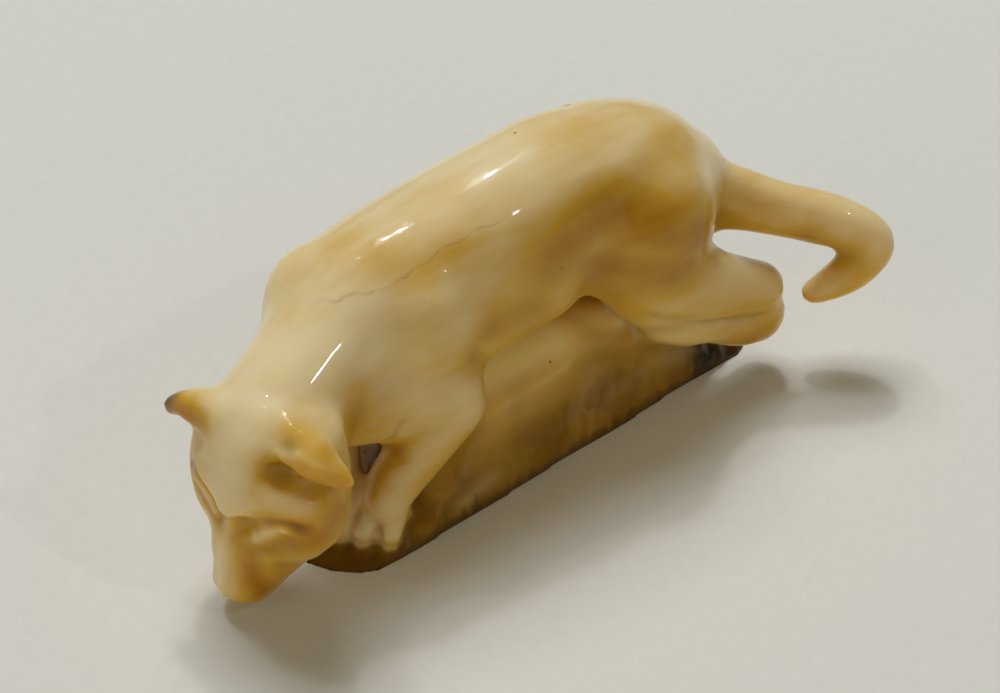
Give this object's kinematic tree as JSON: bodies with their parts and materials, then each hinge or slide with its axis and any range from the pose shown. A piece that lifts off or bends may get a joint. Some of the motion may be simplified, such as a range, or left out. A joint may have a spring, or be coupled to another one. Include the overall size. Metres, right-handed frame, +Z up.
{
  "type": "netsuke",
  "caption": "Small carved ivory-like figure of a big cat prowling head down over a rough rock, its tail hooked at the side.",
  "frame": {"origin": "middle of the rock's flat underside", "axes": "the cat's head points to -X and its tail to +X, its left flank faces -Y, +Z is up"},
  "size_m": [0.0615, 0.0227, 0.027],
  "materials": {
    "carved_ivory": "polished ivory-like tooth or bone, stained yellow-brown, with a rough brown-stained rock"
  },
  "bodies": {
    "root": {"prowling_cat_on_rock": "carved_ivory"}
  },
  "joints": []
}
